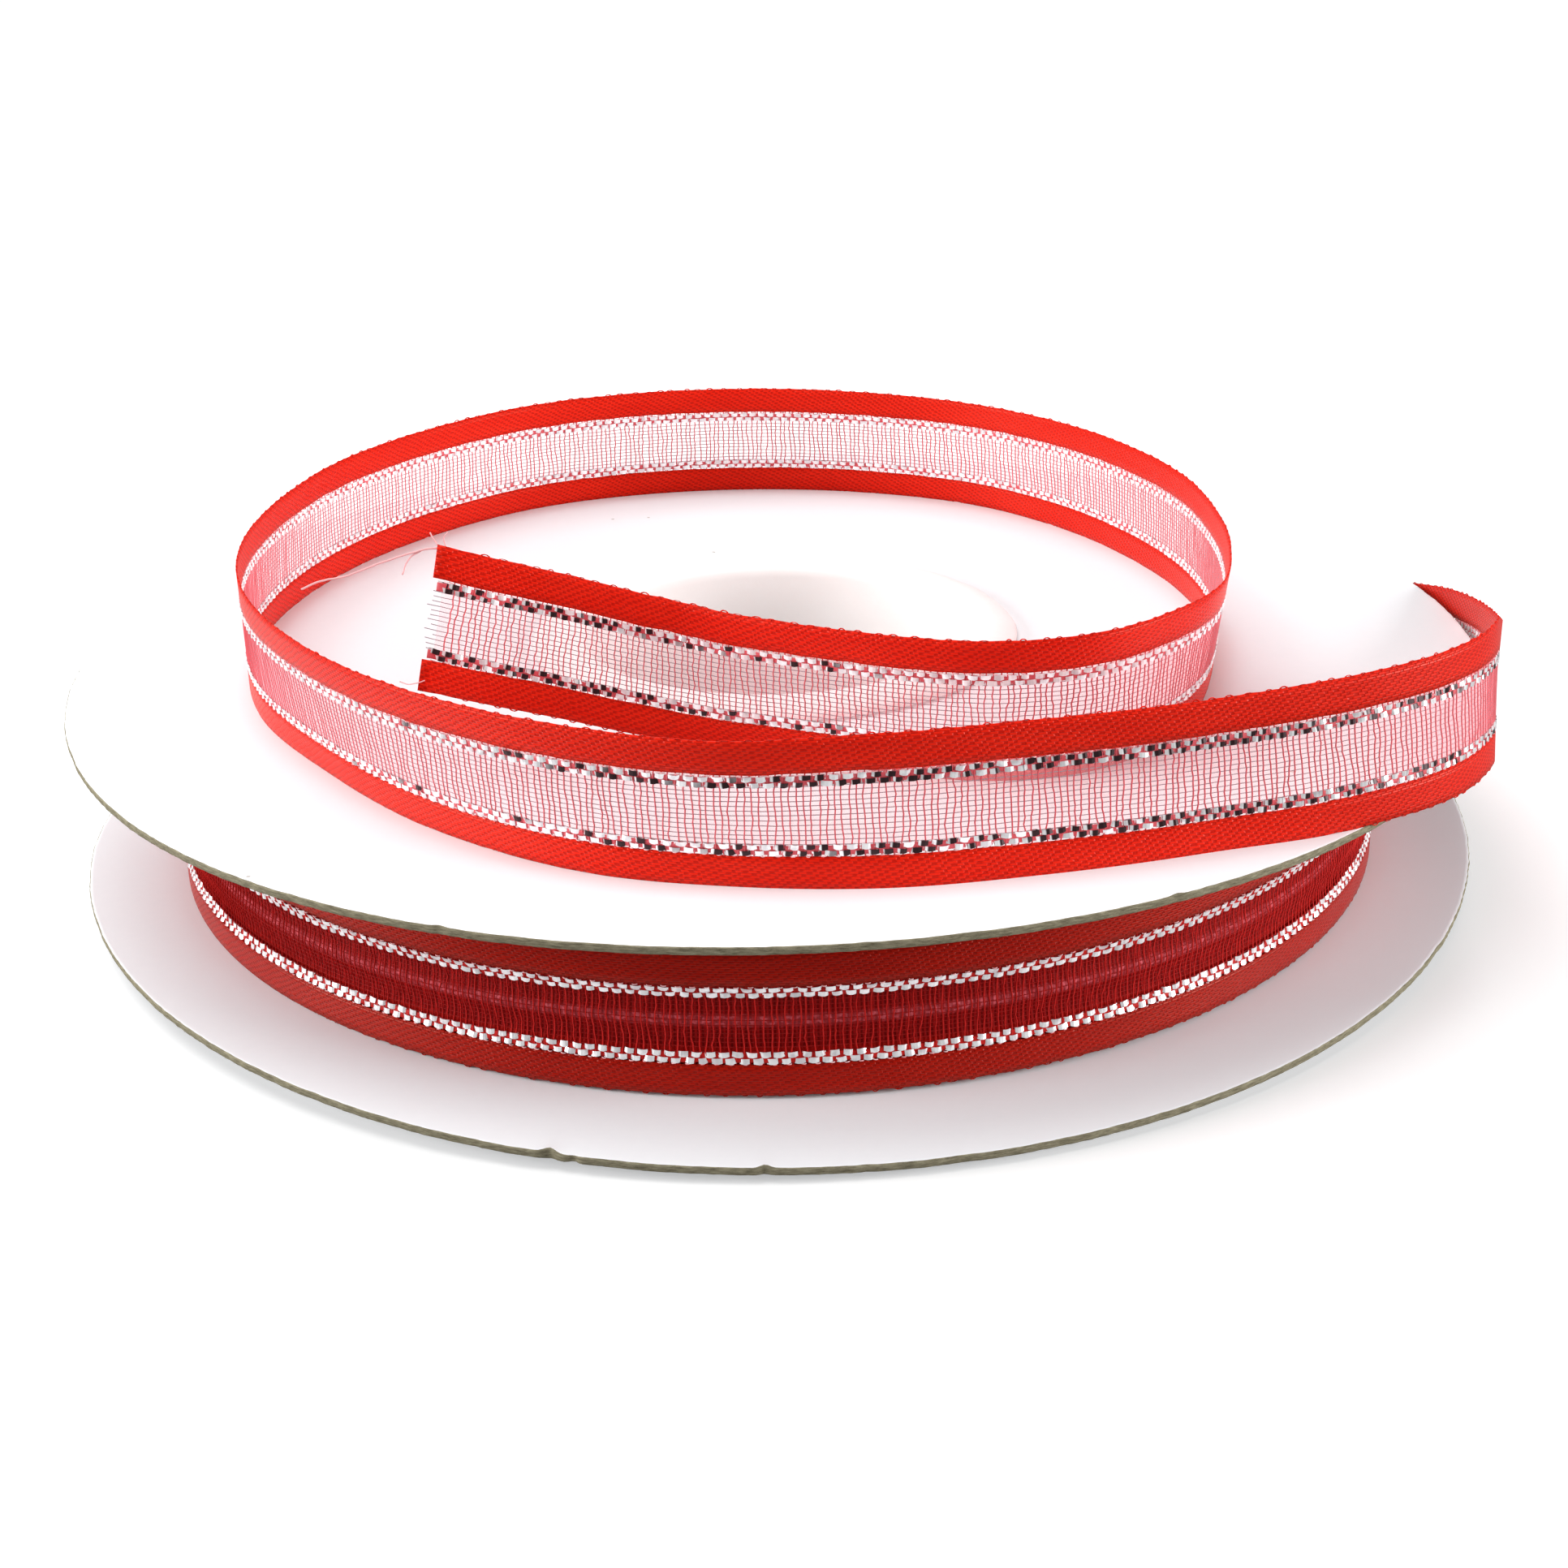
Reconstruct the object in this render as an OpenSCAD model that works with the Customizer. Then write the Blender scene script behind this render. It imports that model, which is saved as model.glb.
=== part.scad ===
// Ribbon spool: two card discs on a curled card core, a wound roll of gift ribbon
// between them, and the ribbon's free tail lying in a loop on the upper disc.
// Millimetres, +Z up. The origin is the centre of the core's lower rim, where it stands.

/* [Ribbon] */
// Width of the ribbon from selvedge to selvedge
ribbon_w = 10; // [8:0.5:12]
// Thickness of the solid that stands for the free tail
tail_t = 0.3; // [0.2:0.05:0.5]
// Outer diameter of the wound roll
roll_d = 94.4; // [90:0.2:94.6]
// Gap between the roll and the card disc below it
roll_gap = 0.2; // [0.1:0.05:0.4]

/* [Card discs] */
// Outer diameter of both discs
disc_d = 109; // [107:0.5:109]
// Thickness of the lined greyboard
card_t = 0.5; // [0.4:0.1:0.7]
// Radial clearance of each disc on the core tube
disc_play = 0.3; // [0.2:0.05:0.4]

/* [Core] */
// Bore of the core tube, which a spindle or peg goes through
bore_d = 30; // [26:0.5:30]
// Wall of the core tube
tube_t = 1.2; // [0.8:0.1:1.4]
// Wall of the barrel sleeve that keeps the discs apart
barrel_t = 1.8; // [1.5:0.1:2.5]
// Length of the barrel sleeve
barrel_h = 13.5; // [13.1:0.1:14.5]
// Radial width of each curled rim, from the bore outwards
rim_w = 4.2; // [3.8:0.1:5]
// Height of each curled rim
rim_h = 1.1; // [0.9:0.1:1.4]
// Axial clearance on each face of a disc
face_play = 0.1; // [0.05:0.05:0.15]

/* [Hidden] */
$fn = 96;

bore_r = bore_d / 2;
tube_r = bore_r + tube_t;
barrel_r = tube_r + barrel_t;
rim_r = bore_r + rim_w;
disc_bore_r = tube_r + disc_play;
roll_r = roll_d / 2;

lower_disc_z = rim_h + face_play;
barrel_z = lower_disc_z + card_t + face_play;
upper_disc_z = barrel_z + barrel_h + face_play;
upper_face_z = upper_disc_z + card_t;
upper_rim_z = upper_face_z + face_play;
core_h = upper_rim_z + rim_h;
roll_z = lower_disc_z + card_t + roll_gap;

// Clearance of the tail's lower edge over the upper disc
tail_lift = 0.35;
// Distance from the roll to the middle of the tail's thickness where it leaves
tail_gap = tail_t / 2 + 0.07;
// How far the tail climbs, from lying in the roll to standing on the upper disc
climb = upper_face_z + tail_lift - roll_z;
// Rings between two stations of the tail
ring_n = 4;

// Stations along the free tail: angle in degrees, radius, share of the climb
tail_route = [
    [56, roll_r + tail_gap, 0],
    [53, roll_r + tail_gap, 0],
    [50, roll_r + tail_gap + 0.1, 0],
    [44, 47.9, 0],
    [35, 49.3, 0],
    [27, 51.3, 0.04],
    [20, 53.3, 0.12],
    [14, 54.8, 0.20],
    [10, 54.95, 0.27],
    [5, 54.95, 0.36],
    [-1, 54.95, 0.44],
    [-7, 54.95, 0.52],
    [-13, 54.95, 0.60],
    [-19, 54.95, 0.71],
    [-24, 55.2, 0.83],
    [-28, 55.8, 0.92],
    [-31, 56.3, 0.98],
    [-34, 56.5, 1],
    [-37, 56.2, 1],
    [-40, 55.7, 1],
    [-45, 54.1, 1],
    [-50, 52.4, 1],
    [-58, 50.0, 1],
    [-70, 47.8, 1],
    [-82, 46.8, 1],
    [-94, 46.3, 1],
    [-105, 45.3, 1],
    [-122, 43.0, 1],
    [-140, 41.1, 1],
    [-158, 40.9, 1],
    [-176, 40.7, 1],
    [-192, 40.9, 1],
    [-208, 41.7, 1],
    [-224, 42.6, 1],
    [-240, 43.5, 1],
    [-255, 43.0, 1],
    [-270, 42.0, 1],
    [-284, 40.5, 1],
    [-298, 39.2, 1],
    [-314, 37.2, 1],
    [-330, 35.3, 1],
    [-346, 34.6, 1],
    [-362, 34.3, 1],
    [-378, 34.9, 1],
    [-392, 36.2, 1],
    [-404, 37.0, 1],
    [-414, 36.4, 1],
    [-424, 34.2, 1],
    [-433, 30.8, 1],
    [-441, 27.8, 1],
    [-449, 25.8, 1],
    [-457, 24.8, 1.01],
    [-466, 24.3, 1.03],
    [-475, 24.9, 1.09],
    [-483, 26.8, 1.17],
    [-489, 29.4, 1.26],
    [-495, 33.9, 1.40]
];
last_station = len(tail_route) - 1;

// Smooth curve through four stations, at share u of the way from b to c
function through(a, b, c, d, u) =
    0.5 * (2 * b + (c - a) * u
        + (2 * a - 5 * b + 4 * c - d) * u * u
        + (3 * b - a - 3 * c + d) * u * u * u);

function station(i) = tail_route[min(max(i, 0), last_station)];

function on_route(i, u) =
    through(station(i - 1), station(i), station(i + 1), station(i + 2), u);

// Every ring of the tail, as angle, radius and share of the climb
tail_rings = concat(
    [
        for (i = [0 : last_station - 1])
            for (k = [0 : ring_n - 1])
                on_route(i, k / ring_n)
    ],
    [tail_route[last_station]]
);
last_ring = len(tail_rings) - 1;

// Centre line of the tail in plan
function plan(i) =
    let (s = tail_rings[min(max(i, 0), last_ring)])
    [s[1] * cos(s[0]), s[1] * sin(s[0])];

// Direction across the tail in plan
function across(i) =
    let (d = plan(i + 1) - plan(i - 1))
    [d[1], -d[0]] / norm(d);

function foot_z(i) = roll_z + climb * max(tail_rings[i][2], 0);

// The four corners of one ring, going round the section
function ring(i) =
    let (c = plan(i))
    let (n = across(i) * tail_t / 2)
    let (z = foot_z(i))
    [
        [c[0] - n[0], c[1] - n[1], z],
        [c[0] + n[0], c[1] + n[1], z],
        [c[0] + n[0], c[1] + n[1], z + ribbon_w],
        [c[0] - n[0], c[1] - n[1], z + ribbon_w]
    ];

tail_points = [
    for (i = [0 : last_ring])
        each ring(i)
];

tail_sides = [
    for (i = [0 : last_ring - 1])
        for (k = [0 : 3])
            each [
                [4 * i + k, 4 * i + (k + 1) % 4, 4 * i + 4 + (k + 1) % 4],
                [4 * i + k, 4 * i + 4 + (k + 1) % 4, 4 * i + 4 + k]
            ]
];

tail_ends = [
    [0, 3, 2],
    [0, 2, 1],
    [4 * last_ring, 4 * last_ring + 1, 4 * last_ring + 2],
    [4 * last_ring, 4 * last_ring + 2, 4 * last_ring + 3]
];

// A flat ring standing on the XY plane
module washer(outer_r, inner_r, h) {
    difference() {
        cylinder(h = h, r = outer_r);
        translate([0, 0, -1])
            cylinder(h = h + 2, r = inner_r);
    }
}

// One curled rim: a flat ring whose inner and outer edges are rolled round
module curled_rim() {
    bead_r = rim_h / 2;
    washer(rim_r - bead_r, bore_r + bead_r, rim_h);
    for (r = [bore_r + bead_r, rim_r - bead_r])
        translate([0, 0, bead_r])
            rotate_extrude()
                translate([r, 0])
                    circle(r = bead_r, $fn = 32);
}

// Card tube through both discs, its two ends curled outwards over them
module core_tube() {
    color([0.90, 0.88, 0.85])
        union() {
            translate([0, 0, rim_h / 2])
                washer(tube_r, bore_r, core_h - rim_h);
            curled_rim();
            translate([0, 0, upper_rim_z])
                curled_rim();
        }
}

// Card sleeve on the tube, which keeps the discs apart and carries the ribbon
module core_barrel() {
    color([0.72, 0.66, 0.56])
        translate([0, 0, barrel_z])
            washer(barrel_r, tube_r, barrel_h);
}

module card_disc(z) {
    color([0.97, 0.97, 0.97])
        translate([0, 0, z])
            washer(disc_d / 2, disc_bore_r, card_t);
}

// Card disc that the roll lies on
module lower_disc() {
    card_disc(lower_disc_z);
}

// Card disc that closes the roll, with the free tail lying on it
module upper_disc() {
    card_disc(upper_disc_z);
}

// All the wound turns of ribbon, as one ring
module ribbon_roll() {
    color([0.72, 0.10, 0.08])
        translate([0, 0, roll_z])
            washer(roll_r, barrel_r, ribbon_w);
}

// The ribbon's free tail, a strip on edge: out of the roll, up past the upper disc,
// once round on top of it and back across the front, where the cut end lifts off
module ribbon_tail() {
    color([0.85, 0.12, 0.08])
        polyhedron(points = tail_points, faces = concat(tail_sides, tail_ends), convexity = 10);
}

core_tube();
core_barrel();
lower_disc();
upper_disc();
ribbon_roll();
ribbon_tail();
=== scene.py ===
import math

import bpy
from mathutils import Matrix, Vector, noise


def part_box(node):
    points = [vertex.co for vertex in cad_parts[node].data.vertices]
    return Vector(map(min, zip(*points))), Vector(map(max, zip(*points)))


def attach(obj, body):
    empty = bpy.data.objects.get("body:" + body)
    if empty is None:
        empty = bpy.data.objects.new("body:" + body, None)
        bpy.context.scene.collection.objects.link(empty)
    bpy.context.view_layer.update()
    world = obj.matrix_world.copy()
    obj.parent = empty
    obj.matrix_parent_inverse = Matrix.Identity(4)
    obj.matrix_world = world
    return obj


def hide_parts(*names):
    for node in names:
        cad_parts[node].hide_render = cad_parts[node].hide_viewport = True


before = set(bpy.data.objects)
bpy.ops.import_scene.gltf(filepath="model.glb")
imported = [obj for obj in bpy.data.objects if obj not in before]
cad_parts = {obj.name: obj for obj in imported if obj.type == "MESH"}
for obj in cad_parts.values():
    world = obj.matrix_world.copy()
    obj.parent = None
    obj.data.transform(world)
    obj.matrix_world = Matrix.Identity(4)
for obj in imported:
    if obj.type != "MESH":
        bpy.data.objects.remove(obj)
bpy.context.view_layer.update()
scene = bpy.context.scene
scene.view_settings.view_transform = "Standard"

# ---------------------------------------------------------------------------
# Camera. It stands at arm's length in front of the spool and looks down on it
# at about 23 degrees, with a very small roll to the right.
stand_at = Vector((0.0, -0.173196, 0.077102))
to_right = Vector((0.9996993, -0.0119510, -0.0214117))
to_top = Vector((0.0243847, 0.3925050, 0.9194266))
to_back = -Vector((0.0025839, 0.9196722, -0.3926784))
lens = bpy.data.cameras.new("camera")
lens.lens = 52.92
lens.sensor_width = 36.0
lens.clip_start = 0.005
camera = bpy.data.objects.new("camera", lens)
scene.collection.objects.link(camera)
camera.matrix_world = Matrix((
    (to_right.x, to_top.x, to_back.x, stand_at.x),
    (to_right.y, to_top.y, to_back.y, stand_at.y),
    (to_right.z, to_top.z, to_back.z, stand_at.z),
    (0.0, 0.0, 0.0, 1.0),
))
scene.camera = camera

# ---------------------------------------------------------------------------
# Studio. A pale sweep of floor that the spool stands on, even white light all
# round, and large soft boxes over it and to both sides of the camera.
def put(tree, kind, feeds=None, **settings):
    """Adds a node, with its properties set and its sockets fed by name or number."""
    node = tree.nodes.new(kind)
    for name, value in settings.items():
        setattr(node, name, value)
    for key, value in (feeds or {}).items():
        if isinstance(value, bpy.types.NodeSocket):
            tree.links.new(value, node.inputs[key])
        else:
            node.inputs[key].default_value = value
    return node


def mixed(tree, share, first, second):
    """The first colour where the share is 0 and the second where it is 1."""
    return put(tree, "ShaderNodeMix", {0: share, 6: first, 7: second}, data_type="RGBA").outputs[2]


def speckle(tree, where, fineness, detail, roughness=0.5):
    """Soft grey noise at a place, so many grains to the metre."""
    feeds = {"Vector": where, "Scale": fineness, "Detail": detail, "Roughness": roughness}
    return put(tree, "ShaderNodeTexNoise", feeds).outputs[0]


def dress(tree, shader, tint, relief=None, strength=0.0, depth=0.0):
    """Gives a shader its colour and, where there is one, its fine relief."""
    tree.links.new(tint, shader.inputs["Base Color"])
    if relief:
        bump = put(tree, "ShaderNodeBump", {"Strength": strength, "Distance": depth, "Height": relief})
        tree.links.new(bump.outputs[0], shader.inputs["Normal"])


def finish_of(name, colour, roughness):
    """A new material, its node tree and its shader."""
    material = bpy.data.materials.new(name)
    material.use_nodes = True
    shader = material.node_tree.nodes["Principled BSDF"]
    shader.inputs["Base Color"].default_value = (*colour, 1.0)
    shader.inputs["Roughness"].default_value = roughness
    return material, material.node_tree, shader


def mesh_object(name, points, faces, materials=(), face_material=None):
    """A new object at the origin, its place in its mesh."""
    mesh = bpy.data.meshes.new(name)
    mesh.from_pydata(points, [], faces)
    for material in materials:
        mesh.materials.append(material)
    if face_material:
        mesh.polygons.foreach_set("material_index", face_material)
    mesh.polygons.foreach_set("use_smooth", [True] * len(faces))
    mesh.update()
    made = bpy.data.objects.new(name, mesh)
    scene.collection.objects.link(made)
    return made


floor_white, tree, shader = finish_of("floor_white", (0.93, 0.93, 0.93), 0.9)
grain = put(tree, "ShaderNodeTexNoise", {"Scale": 40.0, "Detail": 2.0}).outputs[0]
dress(tree, shader, mixed(tree, grain, (0.92, 0.92, 0.92, 1), (0.95, 0.95, 0.95, 1)))
shader.inputs["Emission Color"].default_value = (1.0, 1.0, 1.0, 1.0)
shader.inputs["Emission Strength"].default_value = 0.15
reach = 3.0
corners = [(-reach, -reach, 0), (reach, -reach, 0), (reach, reach, 0), (-reach, reach, 0)]
floor = mesh_object("floor", corners, [(0, 1, 2, 3)], [floor_white])
floor.visible_diffuse = False
floor.visible_glossy = False

sky = bpy.data.worlds.new("studio")
scene.world = sky
sky.use_nodes = True
all_round = sky.node_tree.nodes["Background"]
all_round.inputs["Color"].default_value = (1.0, 1.0, 1.0, 1.0)
all_round.inputs["Strength"].default_value = 0.32


def soft_box(name, place, size, power):
    """A rectangular lamp that is turned towards the spool."""
    lamp = bpy.data.lights.new(name, "AREA")
    lamp.shape = "RECTANGLE"
    lamp.size, lamp.size_y = size
    lamp.energy = power
    box = bpy.data.objects.new(name, lamp)
    scene.collection.objects.link(box)
    box.location = place
    aim = Vector((0, 0, 0.01)) - Vector(place)
    box.rotation_euler = aim.to_track_quat("-Z", "Y").to_euler()


over = bpy.data.lights.new("light_over", "SUN")
over.energy = 1.9
over.angle = math.radians(55)
over_at = bpy.data.objects.new("light_over", over)
scene.collection.objects.link(over_at)
over_at.rotation_euler = Vector((0.30, -0.18, -1.0)).to_track_quat("-Z", "Y").to_euler()
soft_box("box_left", (-0.75, -0.14, 0.22), (0.45, 0.40), 6.4)
soft_box("box_right", (0.74, -0.18, 0.18), (0.40, 0.35), 6.4)

# ---------------------------------------------------------------------------
# Core tube. White card tube that goes through both discs. Its two ends are
# curled outwards over them, which leaves a soft round lip on each side.
tube_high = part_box("core_tube")[1]
core_top = tube_high.z
bore = 0.0150
lip_out = tube_high.x
lip = [
    (0.0000, -0.00110), (0.0001, -0.00060), (0.0004, -0.00022), (0.0010, -0.00004),
    (0.0017, 0.0), (0.0025, -0.00006), (0.0033, -0.00022), (0.0039, -0.00046),
    (0.00418, -0.00072), (0.00412, -0.00095), (0.0036, -0.00106), (0.0022, -0.00108),
    (0.0013, -0.00112),
]
profile = [(bore + r, core_top + z) for r, z in lip]
profile += [(bore + r, -z) for r, z in reversed(lip)]
steps = 360
uneven, pleat, pleats = 0.00005, 0.000015, 84
points = []
for i in range(steps):
    turn = 2 * math.pi * i / steps
    for r, z in profile:
        out = (r - bore) / (lip_out - bore)
        soft = noise.noise(Vector((9 * math.cos(turn), 9 * math.sin(turn), 400 * z)))
        crimp = uneven * out * soft + pleat * out * math.sin(pleats * turn)
        side = 1 if z > core_top / 2 else -1
        r_now = r + (0.00004 * soft if out > 0.5 else 0)
        z_now = min(max(z + side * crimp, 0.0), core_top)
        points.append((r_now * math.cos(turn), r_now * math.sin(turn), z_now))
count = len(profile)
faces = [
    (i * count + k, i * count + (k + 1) % count,
     (i + 1) % steps * count + (k + 1) % count, (i + 1) % steps * count + k)
    for i in range(steps) for k in range(count)
]
core_card, tree, shader = finish_of("core_card", (0.90, 0.87, 0.86), 0.7)
shader.inputs["Specular IOR Level"].default_value = 0.3
# The card glows faintly: painted light that lifts the shade in the bore and on the lips.
shader.inputs["Emission Color"].default_value = (1.0, 0.95, 0.93, 1.0)
shader.inputs["Emission Strength"].default_value = 0.11
place = put(tree, "ShaderNodeTexCoord").outputs["Object"]
fibre = speckle(tree, place, 900.0, 6.0, 0.7)
tone = mixed(tree, fibre, (0.86, 0.82, 0.80, 1), (0.96, 0.93, 0.92, 1))
tint = mixed(tree, speckle(tree, place, 90.0, 2.0), tone, (0.93, 0.90, 0.89, 1))
dress(tree, shader, tint, fibre, 0.35, 0.00006)
core = mesh_object("core_tube_curled", points, faces, [core_card])
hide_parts("core_tube")
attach(core, "core")

# ---------------------------------------------------------------------------
# Barrel sleeve. Brown-grey board tube slid over the core between the discs:
# it keeps them apart and the ribbon is wound on it. Grey chipboard finish.
barrel_card, tree, shader = finish_of("barrel_card", (0.45, 0.38, 0.28), 0.85)
place = put(tree, "ShaderNodeTexCoord").outputs["Object"]
stretched = put(tree, "ShaderNodeMapping", {"Vector": place, "Scale": (1.0, 1.0, 5.0)})
fibre = speckle(tree, stretched.outputs[0], 700.0, 5.0)
dress(tree, shader, mixed(tree, fibre, (0.36, 0.30, 0.21, 1), (0.58, 0.51, 0.40, 1)), fibre, 0.4, 0.0001)
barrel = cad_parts["core_barrel"]
barrel.data.materials.clear()
barrel.data.materials.append(barrel_card)
for polygon in barrel.data.polygons:
    polygon.material_index = 0

# ---------------------------------------------------------------------------
# Card discs. Two punched rings of greyboard lined with white paper on both
# faces, turning freely on the core. The cut edge shows the grey fibres, and
# each board has warped a little and has small nicks in its rim.
liner_white, tree, shader = finish_of("liner_white", (0.93, 0.93, 0.94), 0.62)
shader.inputs["Specular IOR Level"].default_value = 0.35
place = put(tree, "ShaderNodeTexCoord").outputs["Object"]
fibre = speckle(tree, place, 1400.0, 5.0, 0.6)
tone = mixed(tree, fibre, (0.885, 0.905, 0.930, 1), (0.945, 0.960, 0.975, 1))
tint = mixed(tree, speckle(tree, place, 60.0, 3.0), tone, (0.925, 0.940, 0.960, 1))
spots = put(tree, "ShaderNodeTexVoronoi", {"Vector": place, "Scale": 170.0, "Randomness": 1.0})
is_spot = put(tree, "ShaderNodeMath", {0: spots.outputs["Distance"], 1: 0.035}, operation="LESS_THAN")
here = speckle(tree, place, 45.0, 0.0)
is_there = put(tree, "ShaderNodeMath", {0: here, 1: 0.62}, operation="GREATER_THAN")
both = put(tree, "ShaderNodeMath", {0: is_spot.outputs[0], 1: is_there.outputs[0]}, operation="MULTIPLY")
speck = mixed(tree, both.outputs[0], tint, (0.55, 0.53, 0.50, 1))
dress(tree, shader, speck, fibre, 0.12, 0.00004)

cut_grey, tree, shader = finish_of("cut_greyboard", (0.34, 0.31, 0.22), 0.9)
place = put(tree, "ShaderNodeTexCoord").outputs["Object"]
layered = put(tree, "ShaderNodeMapping", {"Vector": place, "Scale": (1.0, 1.0, 6.0)})
fibre = speckle(tree, layered.outputs[0], 1300.0, 5.0, 0.75)
ramp = put(tree, "ShaderNodeValToRGB", {0: fibre})
ramp.color_ramp.elements[0].position = 0.32
ramp.color_ramp.elements[0].color = (0.12, 0.10, 0.055, 1)
ramp.color_ramp.elements[1].position = 0.68
ramp.color_ramp.elements[1].color = (0.40, 0.36, 0.24, 1)
dress(tree, shader, ramp.outputs[0], fibre, 0.8, 0.00012)


def warped_disc(name, node, across, along, still_r, nicks):
    """A lined board ring in a CAD disc's place, bent across and along, with nicks in its rim.

    A nick is its direction and half width in degrees, its depth, and how far its upper lip stands up.
    """
    low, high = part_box(node)
    liner = 0.00007
    worn = 0.0009
    rim, top, bottom = high.x, high.z + liner, low.z
    hole = 0.0165
    ring = [(r, top, 0) for r in (hole + 0.00003, 0.0200, 0.0270, 0.0340, 0.0390, 0.0420, 0.0445,
                                  0.0470, 0.0490, 0.0508, 0.0524, 0.0536, 0.0542)]
    ring += [(rim - 0.00006, top, 0), (rim - 0.00001, top - 0.00003, 1), (rim, top - 0.00014, 1),
             (rim - 0.00001, (top + bottom) / 2, 1), (rim - 0.00004, bottom + 0.00012, 1),
             (rim - 0.00008, bottom + 0.00002, 1), (rim - 0.00014, bottom, 0)]
    ring += [(r, bottom, 0) for r in (0.0536, 0.0508, 0.0470, 0.0420, 0.0340, 0.0200, hole + 0.00003)]
    ring += [(hole, bottom + 0.00005, 1), (hole, top - 0.00005, 1)]
    count = len(ring)
    steps = 4 * 360
    points, faces, which = [], [], []
    for i in range(steps):
        turn = 2 * math.pi * i / steps
        around = Vector((math.cos(turn), math.sin(turn), 0))
        ragged = noise.noise(around * 75) * 0.00005 + noise.noise(around * 17) * 0.00006
        for r, z, edge in ring:
            share = max(0.0, (r - still_r) / (rim - still_r)) ** 2
            z_now = z + share * (across * math.cos(2 * turn) + along * math.sin(2 * turn))
            near = max(0.0, 1 - (rim - r) / worn)
            r_now = r + near * (ragged - 0.00005)
            if edge:
                r_now += noise.noise(Vector((around.x * 160, around.y * 160, z * 9000))) * 0.00003
            for degrees, width, depth, lift in nicks:
                off = (math.degrees(turn) - degrees + 180) % 360 - 180
                bite = math.exp(-(off / width) ** 2) * near
                r_now -= depth * bite
                z_now += lift * bite * (1 if z > (top + bottom) / 2 else -0.3)
            points.append((r_now * around.x, r_now * around.y, z_now))
    for i in range(steps):
        j = (i + 1) % steps
        for k in range(count):
            m = (k + 1) % count
            faces.append((i * count + k, i * count + m, j * count + m, j * count + k))
            which.append(1 if ring[k][2] or ring[m][2] else 0)
    made = mesh_object(name, points, faces, [liner_white, cut_grey], which)
    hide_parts(node)
    return made


lower = warped_disc(
    "lower_disc_board", "lower_disc", 0.00057, 0.00036, 0.0380,
    [(-105.5, 0.55, 0.00030, 0.00020), (-103.9, 0.35, 0.00022, -0.00010), (-91.4, 0.45, 0.00025, 0.00012)],
)
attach(lower, "lower_disc")
upper = warped_disc(
    "upper_disc_board", "upper_disc", -0.00022, -0.00013, 0.0400,
    [(-112.0, 0.50, 0.00010, 0.00006), (-64.0, 0.40, 0.00008, 0.00008)],
)
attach(upper, "upper_disc")

# ---------------------------------------------------------------------------
# Wound ribbon. About 21 metres of 10 mm ribbon in one long spiral on the
# barrel: red satin edges and a sheer middle, which lets the turns sink in.
def calc(tree, operation, *numbers):
    """One step of arithmetic."""
    return put(tree, "ShaderNodeMath", dict(enumerate(numbers)), operation=operation).outputs[0]


def split(tree, vector):
    """The x, y and z of a vector."""
    return put(tree, "ShaderNodeSeparateXYZ", {0: vector}).outputs


def joined(tree, x, y, z):
    """A vector from its x, y and z."""
    return put(tree, "ShaderNodeCombineXYZ", {0: x, 1: y, 2: z}).outputs[0]


def ramped(tree, value, low, high, at_low=0.0, at_high=1.0):
    """A value's place between two limits, held at the ends."""
    return put(tree, "ShaderNodeMapRange", {0: value, 1: low, 2: high, 3: at_low, 4: at_high}).outputs[0]


def attribute(tree, name, output):
    """An attribute of the mesh, for a material to read."""
    return put(tree, "ShaderNodeAttribute", attribute_name=name).outputs[output]


def position(tree):
    """Where each point is."""
    return put(tree, "GeometryNodeInputPosition").outputs[0]


def moved(tree, geometry, offset):
    """The points shifted by an offset."""
    return put(tree, "GeometryNodeSetPosition", {"Geometry": geometry, "Offset": offset}).outputs[0]


def real(tree, geometry):
    """Copies on points turned into mesh or curves of their own."""
    return put(tree, "GeometryNodeRealizeInstances", {0: geometry}).outputs[0]


def noted(tree, geometry, name, value, kind="FLOAT"):
    """Stores a value on the points under a name."""
    feeds = {"Geometry": geometry, "Name": name, "Value": value}
    return put(tree, "GeometryNodeStoreNamedAttribute", feeds, data_type=kind, domain="POINT").outputs[0]


def start_tree(name, **inputs):
    """A new geometry tree with named inputs, and the sockets that bring them in."""
    tree = bpy.data.node_groups.new(name, "GeometryNodeTree")
    for label, value in inputs.items():
        kind = value if isinstance(value, str) else {float: "Float", int: "Int"}[type(value)]
        socket = tree.interface.new_socket(label, in_out="INPUT", socket_type="NodeSocket" + kind)
        if not isinstance(value, str):
            socket.default_value = value
    tree.interface.new_socket("Geometry", in_out="OUTPUT", socket_type="NodeSocketGeometry")
    return tree, tree.nodes.new("NodeGroupInput").outputs


def end_tree(tree, geometry, material):
    """Real mesh at the end of the tree, with its material."""
    finished = put(tree, "GeometryNodeSetMaterial", {"Geometry": real(tree, geometry), "Material": material})
    put(tree, "NodeGroupOutput", {0: finished.outputs[0]})


def grow(name, tree, **values):
    """Runs a geometry tree once and keeps its result as a plain mesh object."""
    made = bpy.data.objects.new(name, bpy.data.meshes.new(name))
    scene.collection.objects.link(made)
    shape = made.modifiers.new("shape", "NODES")
    shape.node_group = tree
    for item in tree.interface.items_tree:
        if item.in_out == "INPUT" and item.name in values:
            shape[item.identifier] = values[item.name]
    bpy.context.view_layer.update()
    mesh = bpy.data.meshes.new_from_object(made.evaluated_get(bpy.context.evaluated_depsgraph_get()))
    made.modifiers.clear()
    made.data = mesh
    mesh.name = name
    return made


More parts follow.
